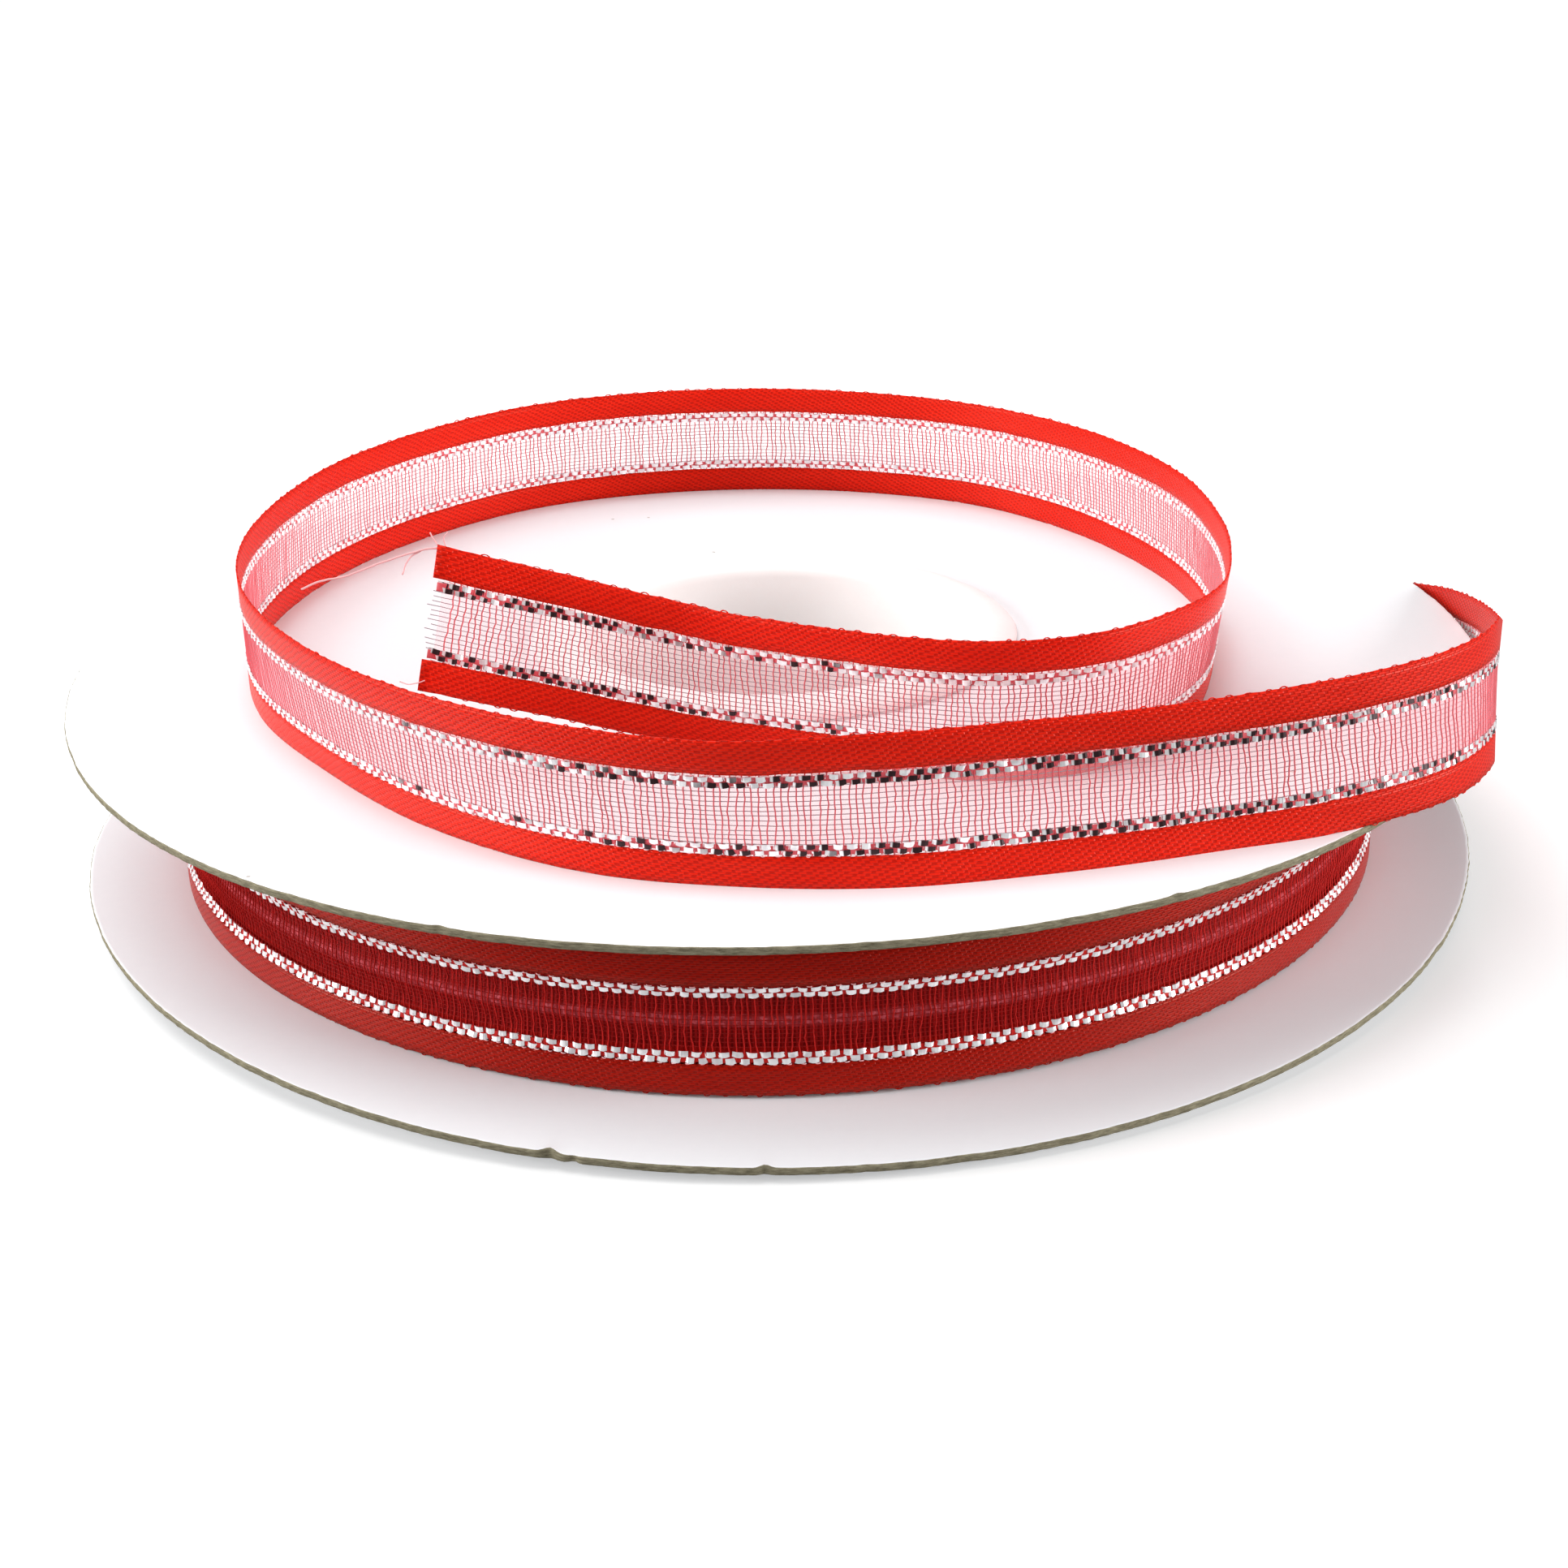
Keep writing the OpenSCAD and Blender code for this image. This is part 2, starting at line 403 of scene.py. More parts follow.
def sunk(tree, share):
    """How far the sheer middle sinks at a share of the ribbon's width: a channel with a ridge."""
    inside = ramped(tree, share, 0.24, 0.76)
    dip = calc(tree, "SINE", calc(tree, "MULTIPLY", inside, math.pi))
    dip = calc(tree, "MAXIMUM", dip, 0.0)
    ridge = calc(tree, "MULTIPLY", calc(tree, "POWER", dip, 9.0), 0.75)
    return calc(tree, "MULTIPLY", calc(tree, "POWER", dip, 0.6), calc(tree, "SUBTRACT", 1.0, ridge))


ribbon_width = 0.010
roll_low, roll_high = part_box("ribbon_roll")
roll_foot = roll_low.z
roll_out = roll_high.x
turn_pitch = 0.00026

wound_tree, given = start_tree(
    "wound_turns", Inner=0.018, Pitch=turn_pitch, Turns=10.0, PerTurn=72.0, Across=2, Thick=0.00018,
    Foot=0.0019, Width=ribbon_width, Hollow=0.0, Ragged=0.0001, Finish="Material",
)
spots_along = calc(wound_tree, "ADD", calc(wound_tree, "MULTIPLY", given["Turns"], given["PerTurn"]), 1.0)
strip = put(wound_tree, "GeometryNodeMeshCube", {
    "Size": joined(wound_tree, 1.0, 1.0, given["Thick"]),
    "Vertices X": spots_along, "Vertices Y": given["Across"], "Vertices Z": 2,
}).outputs[0]
x, y, z = split(wound_tree, position(wound_tree))
turns = calc(wound_tree, "MULTIPLY", calc(wound_tree, "ADD", x, 0.5), given["Turns"])
share = calc(wound_tree, "ADD", y, 0.5)
radius = calc(wound_tree, "ADD", given["Inner"], calc(wound_tree, "MULTIPLY", turns, given["Pitch"]))
radius = calc(wound_tree, "SUBTRACT", radius, z)
radius = calc(
    wound_tree, "SUBTRACT", radius,
    calc(wound_tree, "MULTIPLY", given["Hollow"], sunk(wound_tree, share)),
)
angle = calc(wound_tree, "MULTIPLY", turns, -2 * math.pi)
wander = put(
    wound_tree, "ShaderNodeTexNoise",
    {"W": calc(wound_tree, "MULTIPLY", turns, 2.3), "Scale": 1.0, "Detail": 2.0}, noise_dimensions="1D",
).outputs[0]
lift = calc(wound_tree, "MULTIPLY", calc(wound_tree, "SUBTRACT", wander, 0.6), given["Ragged"])
height = calc(
    wound_tree, "ADD", given["Foot"],
    calc(wound_tree, "ADD", calc(wound_tree, "MULTIPLY", share, given["Width"]), lift),
)
turned = joined(
    wound_tree,
    calc(wound_tree, "MULTIPLY", radius, calc(wound_tree, "COSINE", angle)),
    calc(wound_tree, "MULTIPLY", radius, calc(wound_tree, "SINE", angle)),
    height,
)
flat_now = joined(
    wound_tree, calc(wound_tree, "MULTIPLY", angle, given["Inner"]),
    calc(wound_tree, "MULTIPLY", share, given["Width"]), 0.0,
)
kept = noted(wound_tree, strip, "flat", flat_now, "FLOAT_VECTOR")
placed = put(wound_tree, "GeometryNodeSetPosition", {"Geometry": kept, "Position": turned}).outputs[0]
end_tree(wound_tree, placed, given["Finish"])

# The roll's colours are darker than the free ribbon's: painted shade for the roll lying under the upper disc,
# and in the sheer middle also the real red of the turns below showing through.
wound_red, tree, shader = finish_of("wound_ribbon", (0.45, 0.008, 0.006), 0.5)
shader.inputs["Specular IOR Level"].default_value = 0.12
flat = attribute(tree, "flat", "Vector")
x, y, z = split(tree, flat)
share = calc(tree, "DIVIDE", y, ribbon_width)
off_middle = calc(tree, "ABSOLUTE", calc(tree, "SUBTRACT", share, 0.49))
is_sheer = ramped(tree, off_middle, 0.21, 0.18)
ribs = calc(tree, "SINE", calc(tree, "MULTIPLY", x, 2 * math.pi / 0.00030))
ribs = ramped(tree, ribs, -1.0, 1.0)
deep = mixed(tree, ribs, (0.24, 0.001, 0.001, 1), (0.52, 0.008, 0.008, 1))
# The raised ridge is painted pale pink in patches: a painted highlight where it catches the light.
ridge_highlight = ramped(tree, off_middle, 0.055, 0.02)
patchy = speckle(tree, flat, 2400.0, 1.0)
patchy = ramped(tree, patchy, 0.50, 0.62, 0.30)
ridge_highlight = calc(tree, "MULTIPLY", ridge_highlight, patchy)
deep = mixed(tree, ridge_highlight, deep, (0.85, 0.14, 0.17, 1))
tint = mixed(tree, is_sheer, (0.62, 0.010, 0.006, 1), deep)
dress(tree, shader, tint, ribs, 0.5, 0.00008)

barrel_r = 0.0182
last_few = 3.0
inner_turns = float(math.floor((roll_out - 0.0002 - barrel_r) / turn_pitch - (last_few + 1)))
wound = grow(
    "ribbon_wound", wound_tree, Inner=barrel_r, Turns=inner_turns, Foot=roll_foot + 0.0001, Width=0.0098,
    Ragged=0.0004, Finish=wound_red,
)
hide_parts("ribbon_roll")
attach(wound, "core")

start_r = barrel_r + inner_turns * turn_pitch
last_turns = grow(
    "ribbon_last_turns", wound_tree, Inner=start_r, Turns=last_few, PerTurn=240.0, Across=21,
    Thick=0.00016, Foot=roll_foot, Hollow=0.00042, Ragged=0.00005, Finish=wound_red,
)
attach(last_turns, "core")

# ---------------------------------------------------------------------------
# Ribbon cloth. Two satin bands with looped selvedges, a line of silver foil
# strips inside each, and an open sheer weave of red weft on thin grey warp.
satin_low = (0.0, 0.00218)
silver_low = 0.00262
sheer = (0.0021, 0.0079)
silver_high = 0.00724
satin_high = (0.00775, 0.0100)

lay_tree, given = start_tree(
    "lay_on_path", Geometry="Geometry", Path="Object", Hollow=0.0, Width=ribbon_width,
)
x, y, z = split(lay_tree, position(lay_tree))
kept = noted(lay_tree, given["Geometry"], "flat", position(lay_tree), "FLOAT_VECTOR")
line = put(
    lay_tree, "GeometryNodeObjectInfo", {"Object": given["Path"]}, transform_space="ORIGINAL",
).outputs["Geometry"]
line = put(lay_tree, "GeometryNodeMeshToCurve", {"Mesh": line}).outputs[0]
rise = put(lay_tree, "GeometryNodeInputNamedAttribute", {"Name": "rise"}, data_type="FLOAT_VECTOR").outputs[0]
at = put(
    lay_tree, "GeometryNodeSampleCurve", {"Curves": line, "Value": rise, "Length": x}, mode="LENGTH",
    data_type="FLOAT_VECTOR",
)
inward = put(
    lay_tree, "ShaderNodeVectorMath", {0: at.outputs["Tangent"], 1: at.outputs["Value"]},
    operation="CROSS_PRODUCT",
).outputs[0]
sag = sunk(lay_tree, calc(lay_tree, "DIVIDE", y, given["Width"]))
depth = calc(lay_tree, "ADD", z, calc(lay_tree, "MULTIPLY", given["Hollow"], sag))
up_part = put(
    lay_tree, "ShaderNodeVectorMath", {0: at.outputs["Value"], "Scale": y}, operation="SCALE",
).outputs[0]
in_part = put(lay_tree, "ShaderNodeVectorMath", {0: inward, "Scale": depth}, operation="SCALE").outputs[0]
spot = put(lay_tree, "ShaderNodeVectorMath", {0: up_part, 1: in_part}, operation="ADD").outputs[0]
spot = put(lay_tree, "ShaderNodeVectorMath", {0: spot, 1: at.outputs["Position"]}, operation="ADD").outputs[0]
placed = put(lay_tree, "GeometryNodeSetPosition", {"Geometry": kept, "Position": spot}).outputs[0]
put(lay_tree, "NodeGroupOutput", {0: placed})


def laid(tree, given, geometry):
    """Flat cloth, x along and y up, laid on the path."""
    return put(tree, "GeometryNodeGroup", {
        "Geometry": geometry, "Path": given["Path"], "Hollow": given["Hollow"], "Width": ribbon_width,
    }, node_tree=lay_tree).outputs[0]


def random_number(tree, low, high, seed):
    """A number between two limits, one for each point."""
    return put(tree, "FunctionNodeRandomValue", {2: low, 3: high, 8: seed}, data_type="FLOAT").outputs[1]


def row_of(tree, count, start, step):
    """Points in a straight row."""
    feeds = {"Count": count, "Start Location": start, "Offset": step}
    return put(tree, "GeometryNodeMeshLine", feeds, mode="OFFSET").outputs[0]


def wavy(tree, geometry, amount, seed, direction, fine_x, fine_y):
    """Moves points to one side by smooth noise, so that threads drift as they do in an open weave."""
    x, y, z = split(tree, position(tree))
    where = joined(tree, calc(tree, "MULTIPLY", x, fine_x), calc(tree, "MULTIPLY", y, fine_y), seed)
    drift = speckle(tree, where, 1.0, 1.5)
    drift = calc(tree, "MULTIPLY", calc(tree, "SUBTRACT", drift, 0.5), amount)
    offset = joined(tree, drift, 0.0, 0.0) if direction == "x" else joined(tree, 0.0, drift, 0.0)
    return moved(tree, geometry, offset)


def tube(tree, line, sides, radius):
    """A thread of some sides along a line."""
    ring = put(tree, "GeometryNodeCurvePrimitiveCircle", {"Resolution": sides, "Radius": radius}).outputs[0]
    return put(
        tree, "GeometryNodeCurveToMesh", {"Curve": line, "Profile Curve": ring, "Fill Caps": True},
    ).outputs[0]


# Satin band: a thin strip, a little uneven along its outer selvedge.
band_tree, given = start_tree(
    "satin_band", Path="Object", From=0.0, To=0.4, Low=0.0, High=0.0023, Thick=0.00012, Hollow=0.0,
    Seed=1.0, Finish="Material",
)
length = calc(band_tree, "SUBTRACT", given["To"], given["From"])
cells = calc(band_tree, "ADD", calc(band_tree, "DIVIDE", length, 0.0008), 2.0)
width = calc(band_tree, "SUBTRACT", given["High"], given["Low"])
strip = put(band_tree, "GeometryNodeMeshCube", {
    "Size": joined(band_tree, length, width, given["Thick"]),
    "Vertices X": cells, "Vertices Y": 5, "Vertices Z": 2,
}).outputs[0]
middle = joined(
    band_tree,
    calc(band_tree, "MULTIPLY", calc(band_tree, "ADD", given["From"], given["To"]), 0.5),
    calc(band_tree, "MULTIPLY", calc(band_tree, "ADD", given["Low"], given["High"]), 0.5), 0.0,
)
strip = moved(band_tree, strip, middle)
strip = wavy(band_tree, strip, 0.00022, given["Seed"], "y", 700.0, 90.0)
end_tree(band_tree, laid(band_tree, given, strip), given["Finish"])

# Weft: one fine red thread after another across the sheer, drifting in groups.
weft_tree, given = start_tree(
    "weft_rows", Path="Object", From=0.0, To=0.4, Pitch=0.000455, Low=0.0022, High=0.0079,
    Radius=0.00006, Drift=0.0006, Hollow=0.0, Seed=1.0, Finish="Material",
)
count = calc(weft_tree, "DIVIDE", calc(weft_tree, "SUBTRACT", given["To"], given["From"]), given["Pitch"])
rows = row_of(
    weft_tree, count, joined(weft_tree, given["From"], 0.0, 0.0),
    joined(weft_tree, given["Pitch"], 0.0, 0.0),
)
thread = put(weft_tree, "GeometryNodeCurvePrimitiveLine", {
    "Start": joined(weft_tree, 0.0, given["Low"], 0.0), "End": joined(weft_tree, 0.0, given["High"], 0.0),
}).outputs[0]
thread = put(weft_tree, "GeometryNodeResampleCurve", {"Curve": thread, "Count": 14}, mode="COUNT").outputs[0]
shift = joined(weft_tree, random_number(weft_tree, -0.00005, 0.00005, 3), 0.0, 0.0)
rows = moved(weft_tree, rows, shift)
rows = put(weft_tree, "GeometryNodeInstanceOnPoints", {"Points": rows, "Instance": thread}).outputs[0]
rows = real(weft_tree, rows)
rows = wavy(weft_tree, rows, given["Drift"], given["Seed"], "x", 800.0, 420.0)
x, y, z = split(weft_tree, position(weft_tree))
phase = calc(
    weft_tree, "ADD", calc(weft_tree, "MULTIPLY", y, 6700.0), calc(weft_tree, "MULTIPLY", x, 6900.0),
)
turned = calc(weft_tree, "MULTIPLY", calc(weft_tree, "SINE", phase), 0.000035)
zigzag = joined(weft_tree, turned, 0.0, 0.0)
rows = moved(weft_tree, rows, zigzag)
rows = tube(weft_tree, rows, 3, given["Radius"])
end_tree(weft_tree, laid(weft_tree, given, rows), given["Finish"])

# Warp: thin grey threads along the whole sheer, their cut ends uneven.
warp_tree, given = start_tree(
    "warp_rows", Path="Object", From=0.0, To=0.4, Count=13, Low=0.0030, High=0.0069, Radius=0.000034,
    Hollow=0.0, Seed=1.0, Finish="Material",
)
gap = calc(
    warp_tree, "DIVIDE", calc(warp_tree, "SUBTRACT", given["High"], given["Low"]),
    calc(warp_tree, "SUBTRACT", given["Count"], 1.0),
)
rows = row_of(
    warp_tree, given["Count"], joined(warp_tree, 0.0, given["Low"], 0.0),
    joined(warp_tree, 0.0, gap, 0.0),
)
thread = put(warp_tree, "GeometryNodeCurvePrimitiveLine", {
    "Start": joined(warp_tree, given["From"], 0.0, 0.0), "End": joined(warp_tree, given["To"], 0.0, 0.0),
}).outputs[0]
thread = put(
    warp_tree, "GeometryNodeResampleCurve", {"Curve": thread, "Length": 0.0009}, mode="LENGTH",
).outputs[0]
rows = put(warp_tree, "GeometryNodeInstanceOnPoints", {"Points": rows, "Instance": thread}).outputs[0]
rows = real(warp_tree, rows)
x, y, z = split(warp_tree, position(warp_tree))
at_end = calc(warp_tree, "GREATER_THAN", x, calc(warp_tree, "SUBTRACT", given["To"], 0.0004))
jump = put(
    warp_tree, "ShaderNodeTexNoise", {"W": calc(warp_tree, "MULTIPLY", y, 9000.0), "Scale": 1.0},
    noise_dimensions="1D",
).outputs[0]
jump = calc(
    warp_tree, "MULTIPLY", calc(warp_tree, "MULTIPLY", calc(warp_tree, "SUBTRACT", jump, 0.6), 0.0016),
    at_end,
)
rows = moved(warp_tree, rows, joined(warp_tree, jump, 0.0, 0.0))
rows = wavy(warp_tree, rows, 0.00016, given["Seed"], "y", 500.0, 900.0)
rows = tube(warp_tree, rows, 3, given["Radius"])
end_tree(warp_tree, laid(warp_tree, given, rows), given["Finish"])

# Selvedge loops: where each weft turns back it stands out in a small loop.
loop_tree, given = start_tree(
    "selvedge_loops", Path="Object", From=0.0, To=0.4, Pitch=0.00124, Width=0.010, Radius=0.00006,
    Hollow=0.0, Finish="Material",
)
count = calc(loop_tree, "DIVIDE", calc(loop_tree, "SUBTRACT", given["To"], given["From"]), given["Pitch"])
bow = put(loop_tree, "GeometryNodeCurveArc", {
    "Resolution": 6, "Radius": 0.00026, "Start Angle": 0.0, "Sweep Angle": math.pi,
}, mode="RADIUS").outputs[0]
bow = moved(loop_tree, bow, (0.0, -0.00012, 0.0))
bow = tube(loop_tree, bow, 4, given["Radius"])
edges = []
for height, flip, seed in ((given["Width"], 0.0, 5), (0.0, math.pi, 9)):
    rows = row_of(
        loop_tree, count, joined(loop_tree, given["From"], height, 0.0),
        joined(loop_tree, given["Pitch"], 0.0, 0.0),
    )
    shift = joined(loop_tree, random_number(loop_tree, -0.00025, 0.00025, seed), 0.0, 0.0)
    rows = moved(loop_tree, rows, shift)
    size = joined(
        loop_tree, random_number(loop_tree, 0.7, 1.3, seed + 1),
        random_number(loop_tree, 0.3, 0.85, seed + 2), 1.0,
    )
    edges.append(put(loop_tree, "GeometryNodeInstanceOnPoints", {
        "Points": rows, "Instance": bow, "Rotation": (flip, 0.0, 0.0), "Scale": size,
    }).outputs[0])
both = put(loop_tree, "GeometryNodeJoinGeometry")
for edge in edges:
    loop_tree.links.new(edge, both.inputs[0])
rows = real(loop_tree, both.outputs[0])
end_tree(loop_tree, laid(loop_tree, given, rows), given["Finish"])

# Silver lines: two rows of little foil strips in a chequer, each tilted its own way.
foil_tree, given = start_tree(
    "foil_rows", Path="Object", From=0.0, To=0.4, Middle=0.0026, Apart=0.00040, Pitch=0.00087,
    Long=0.00068, Wide=0.00036, Tilt=0.17, Bright=0.0, Round=0.0002, Side=1.0, Hollow=0.0, Seed=1,
    Finish="Material",
)
half = calc(foil_tree, "MULTIPLY", given["Pitch"], 0.5)
count = calc(foil_tree, "DIVIDE", calc(foil_tree, "SUBTRACT", given["To"], given["From"]), half)
rows = row_of(foil_tree, count, joined(foil_tree, given["From"], 0.0, 0.0), joined(foil_tree, half, 0.0, 0.0))
odd = calc(foil_tree, "MODULO", put(foil_tree, "GeometryNodeInputIndex").outputs[0], 2.0)
row_y = calc(
    foil_tree, "ADD", given["Middle"],
    calc(foil_tree, "MULTIPLY", calc(foil_tree, "SUBTRACT", odd, 0.5), given["Apart"]),
)
row_y = calc(foil_tree, "ADD", row_y, random_number(foil_tree, -0.00002, 0.00002, given["Seed"]))
rows = moved(foil_tree, rows, joined(foil_tree, 0.0, row_y, 0.0))
rows = noted(foil_tree, rows, "glint", random_number(foil_tree, given["Bright"], 1.0, 21))
strip = put(foil_tree, "GeometryNodeMeshCube", {
    "Size": joined(foil_tree, given["Long"], given["Wide"], 0.00003),
    "Vertices X": 4, "Vertices Y": 2, "Vertices Z": 2,
}).outputs[0]
x, y, z = split(foil_tree, position(foil_tree))
along = calc(foil_tree, "DIVIDE", x, given["Long"])
strip = noted(foil_tree, strip, "along", along)
square = calc(foil_tree, "POWER", along, 2.0)
bowed = calc(foil_tree, "SUBTRACT", calc(foil_tree, "MULTIPLY", square, 0.00030), 0.00009)
is_lower = calc(foil_tree, "LESS_THAN", y, 0.0)
tucked = calc(foil_tree, "MULTIPLY", calc(foil_tree, "MULTIPLY", square, is_lower), given["Round"])
bowed = calc(foil_tree, "MULTIPLY", bowed, given["Side"])
strip = moved(foil_tree, strip, joined(foil_tree, 0.0, tucked, bowed))
low_tilt = calc(foil_tree, "MULTIPLY", given["Tilt"], -1.0)
tilt = joined(
    foil_tree,
    random_number(foil_tree, low_tilt, given["Tilt"], 31),
    random_number(foil_tree, low_tilt, given["Tilt"], 32),
    random_number(foil_tree, -0.13, 0.13, 33),
)
size = joined(
    foil_tree, random_number(foil_tree, 0.82, 1.06, 34), random_number(foil_tree, 0.86, 1.06, 35), 1.0,
)
rows = put(foil_tree, "GeometryNodeInstanceOnPoints", {
    "Points": rows, "Instance": strip, "Rotation": tilt, "Scale": size,
}).outputs[0]
rows = real(foil_tree, rows)
end_tree(foil_tree, laid(foil_tree, given, rows), given["Finish"])


def painted_roll_shade(tree, x, deep, tint):
    """Cloth still lying on the roll is painted darker, shade like the roll's under the upper disc; the
    painted shade fades over the first 45 mm that stand clear.
    """
    share = ramped(tree, x, 0.002, 0.045)
    return mixed(tree, share, (*deep, 1), tint)


def satin_finish(name, dull, bright, sunk_red):
    """Red satin: rows of long floats, each row a step on from the last."""
    float_apart, float_long = 0.00017, 0.00078
    satin, tree, shader = finish_of(name, bright, 0.36)
    shader.inputs["Sheen Weight"].default_value = 0.10
    shader.inputs["Sheen Roughness"].default_value = 0.40
    shader.inputs["Sheen Tint"].default_value = (1.0, 0.28, 0.14, 1.0)
    shader.inputs["Specular IOR Level"].default_value = 0.22
    shader.inputs["Specular Tint"].default_value = (1.0, 0.45, 0.30, 1.0)
    flat = attribute(tree, "flat", "Vector")
    x, y, z = split(tree, flat)
    rows = calc(tree, "DIVIDE", y, float_apart)
    shifted = calc(
        tree, "ADD", calc(tree, "DIVIDE", x, float_long),
        calc(tree, "MULTIPLY", calc(tree, "FLOOR", rows), 0.39),
    )
    ragged = speckle(tree, flat, 900.0, 1.0)
    in_float = calc(tree, "FRACT", calc(tree, "ADD", shifted, calc(tree, "MULTIPLY", ragged, 0.9)))
    dive = calc(tree, "MULTIPLY", ramped(tree, in_float, 0.52, 0.66), ramped(tree, in_float, 1.0, 0.90))
    beside = calc(tree, "ABSOLUTE", calc(tree, "SUBTRACT", calc(tree, "FRACT", rows), 0.5))
    groove = ramped(tree, beside, 0.30, 0.50)
    drawn_out = put(tree, "ShaderNodeMapping", {"Vector": flat, "Scale": (160.0, 900.0, 1.0)}).outputs[0]
    broad = speckle(tree, drawn_out, 1.0, 3.0)
    body = mixed(tree, broad, (*dull, 1), (*bright, 1))
    # Painted shade where the ribbon still lies on the roll.
    body = painted_roll_shade(tree, x, (0.42, 0.006, 0.002), body)
    # Float dives and the grooves between rows are darkened towards the sunk red: painted shade in the weave's
    # hollows.
    dark = calc(tree, "ADD", calc(tree, "MULTIPLY", dive, 0.75), calc(tree, "MULTIPLY", groove, 0.25))
    tint = mixed(tree, calc(tree, "MULTIPLY", dark, 0.75), body, (*sunk_red, 1))
    relief = calc(
        tree, "SUBTRACT", calc(tree, "MULTIPLY", broad, 0.5),
        calc(tree, "ADD", dive, calc(tree, "MULTIPLY", groove, 0.6)),
    )
    dress(tree, shader, tint, relief, 0.7, 0.00005)
    return satin


satin_red = satin_finish("satin_red", (0.72, 0.008, 0.002), (0.92, 0.022, 0.007), (0.36, 0.002, 0.001))
# A darker copy of the satin for the roll: painted shade, the roll lying in the upper disc's shadow.
satin_shaded = satin_finish("satin_shaded_on_roll", (0.32, 0.003, 0.001), (0.46, 0.008, 0.002), (0.18, 0.001, 0.001))


def thread_finish(name, roughness, fineness, detail, dark, light, on_roll=None, **settings):
    """Dyed thread, uneven in tone along the cloth, and painted darker where it still lies on the roll:
    painted shade like the roll's.
    """
    thread, tree, shader = finish_of(name, light, roughness)
    for label, value in settings.items():
        shader.inputs[label.replace("_", " ")].default_value = value
    flat = attribute(tree, "flat", "Vector")
    tint = mixed(tree, speckle(tree, flat, fineness, detail), (*dark, 1), (*light, 1))
    if on_roll:
        tint = painted_roll_shade(tree, split(tree, flat)[0], on_roll, tint)
    dress(tree, shader, tint)
    return thread


edge_pink = thread_finish("edge_thread", 0.5, 1500.0, 1.0, (0.80, 0.22, 0.24), (0.95, 0.70, 0.70))
weft_red = thread_finish(
    "sheer_weft", 0.45, 1400.0, 2.0, (0.58, 0.022, 0.035), (0.82, 0.11, 0.14), (0.46, 0.010, 0.010),
    Sheen_Weight=0.3,
)
warp_grey = thread_finish(
    "sheer_warp", 0.5, 900.0, 2.0, (0.24, 0.17, 0.20), (0.46, 0.36, 0.40), (0.34, 0.006, 0.006),
)
# Darker red copies of weft and warp for the roll: painted shade under the upper disc, with the red of the
# turns below showing through the sheer.
weft_shaded = thread_finish(
    "sheer_weft_shaded_on_roll", 0.45, 1600.0, 2.0, (0.34, 0.004, 0.003), (0.66, 0.022, 0.018),
    Specular_IOR_Level=0.12,
)
warp_shaded = thread_finish(
    "sheer_warp_shaded_on_roll", 0.5, 900.0, 2.0, (0.26, 0.003, 0.003), (0.48, 0.014, 0.012),
    Specular_IOR_Level=0.12,
)


def swellings(tree, x, places):
    """A bell at each place along the ribbon, given as its middle, its spread and its height."""
    total = 0.0
    for middle, spread, height in places:
        away = calc(tree, "DIVIDE", calc(tree, "SUBTRACT", x, middle), spread)
        bell = calc(tree, "EXPONENT", calc(tree, "MULTIPLY", calc(tree, "MULTIPLY", away, away), -1.0))
        total = calc(tree, "ADD", total, calc(tree, "MULTIPLY", bell, height))
    return total


# A pink film closes the sheer a little, and more where the ribbon bends away: partly stray fibres, partly
# painted light, as the film glows faintly for light coming through the red weave.
sheer_haze, tree, shader = finish_of("sheer_haze", (0.95, 0.42, 0.48), 0.6)
shader.inputs["Emission Color"].default_value = (1.0, 0.42, 0.46, 1.0)
shader.inputs["Emission Strength"].default_value = 0.30
flat = attribute(tree, "flat", "Vector")
vary = speckle(tree, flat, 120.0, 1.0)
tint = mixed(tree, vary, (0.96, 0.42, 0.46, 1), (1.0, 0.64, 0.66, 1))
x, y, z = split(tree, flat)
closed = swellings(tree, x, ((0.081, 0.012, 1.0), (0.190, 0.016, 0.8), (0.351, 0.012, 0.7)))
tint = mixed(tree, closed, tint, (0.96, 0.20, 0.24, 1))
clear = ramped(tree, x, 0.004, 0.05)
cover = calc(tree, "MULTIPLY", calc(tree, "ADD", calc(tree, "MULTIPLY", closed, 0.42), 0.17), clear)
tree.links.new(cover, shader.inputs["Alpha"])
dress(tree, shader, tint)

# Silver foil. Strips that are turned away show dark on one half, a painted reflection of dark surroundings;
# how many are turned depends on how the ribbon stands to the light along its run.
silver, tree, shader = finish_of("silver_foil", (0.90, 0.90, 0.92), 0.30)
shader.inputs["Metallic"].default_value = 0.55
glint = attribute(tree, "glint", "Fac")
flat = attribute(tree, "flat", "Vector")
x, y, z = split(tree, flat)
patch = speckle(tree, flat, 90.0, 1.0)
shade = calc(
    tree, "ADD", calc(tree, "ADD", glint, 0.16),
    calc(tree, "MULTIPLY", calc(tree, "SUBTRACT", patch, 0.5), 0.5),
)
shade = calc(tree, "SUBTRACT", shade, swellings(tree, x, ((0.110, 0.030, 0.90), (0.404, 0.018, 0.80))))
dark_reflection = ramped(tree, shade, 0.18, 0.12)
along = attribute(tree, "along", "Fac")
end_part = calc(tree, "ADD", along, calc(tree, "MULTIPLY", calc(tree, "SUBTRACT", glint, 0.5), 0.5))
side = ramped(tree, end_part, 0.16, 0.04)
dark = calc(tree, "MULTIPLY", dark_reflection, side)
